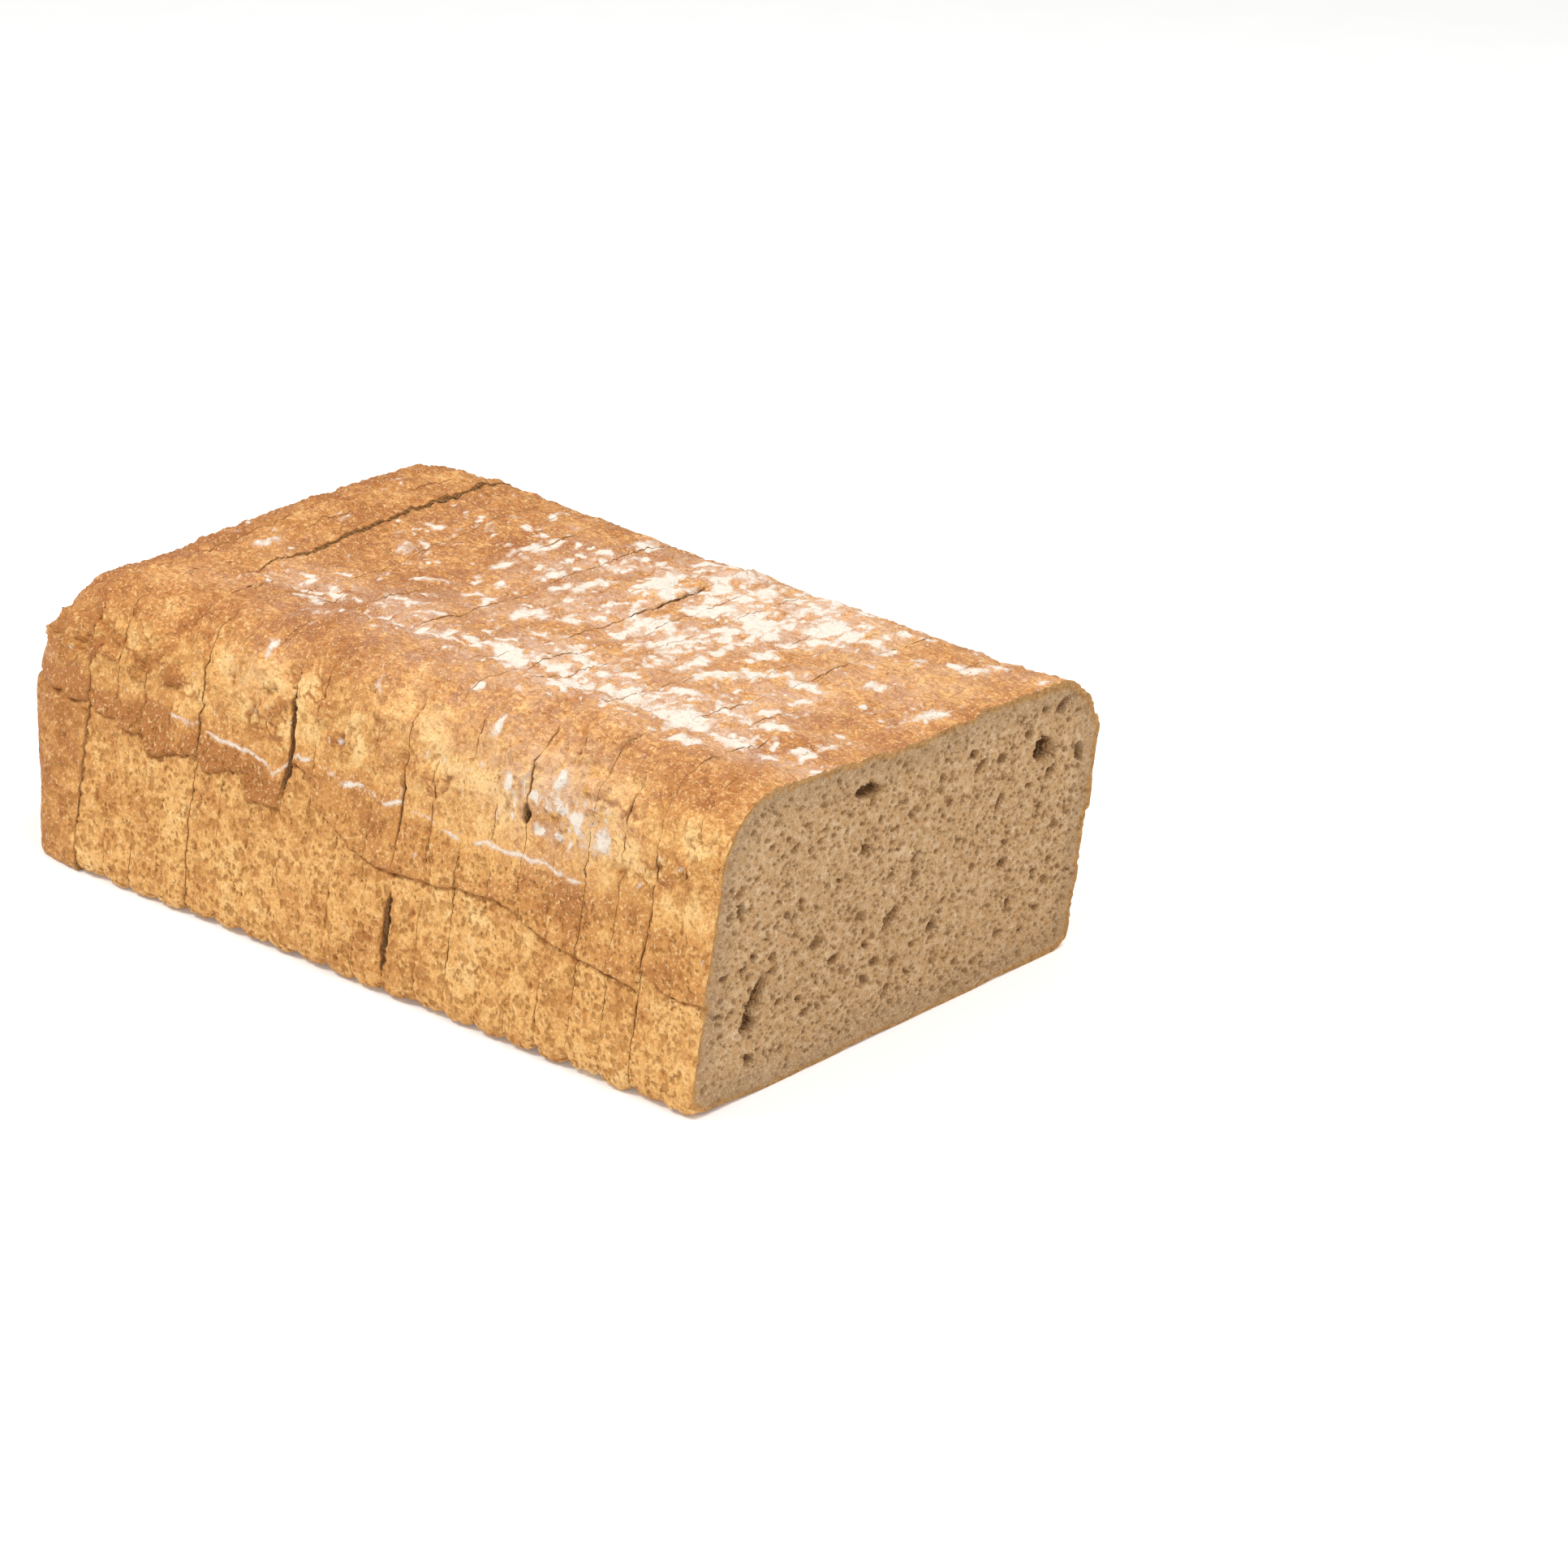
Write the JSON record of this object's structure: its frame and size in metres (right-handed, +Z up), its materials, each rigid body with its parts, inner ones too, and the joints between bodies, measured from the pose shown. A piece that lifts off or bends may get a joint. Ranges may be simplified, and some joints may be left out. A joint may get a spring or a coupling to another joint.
{
  "type": "sliced tin loaf",
  "caption": "Sliced tin loaf of bread that still keeps its shape, with a rounded heel, a flour-dusted top, pitted golden sides and an open crumb face at the cut end.",
  "frame": {"origin": "middle of the loaf's flat base", "axes": "+X along the loaf from the rounded heel to the open cut, -Y towards the pitted side, +Z up to the floury top"},
  "size_m": [0.2848, 0.1705, 0.09],
  "materials": {
    "crust": "dry baked crust, golden brown and porous on the sides, browner with white flour on top",
    "cut_slice": "dry open crumb, beige grey with small holes, inside a thin golden crust"
  },
  "bodies": {
    "root": {"heel": "crust", "slice_01": "crust", "slice_02": "crust", "slice_03": "crust", "slice_04": "crust", "slice_05": "crust", "slice_06": "crust", "slice_07": "crust", "slice_08": "crust", "slice_09": "crust", "slice_10": "crust", "slice_11": "crust", "slice_12": "crust", "slice_13": "crust", "slice_14": "crust", "slice_15": "crust", "slice_16": "crust", "slice_17": "crust", "slice_18": "crust", "slice_19": "crust", "slice_20": "crust", "slice_21": "cut_slice"}
  },
  "joints": []
}
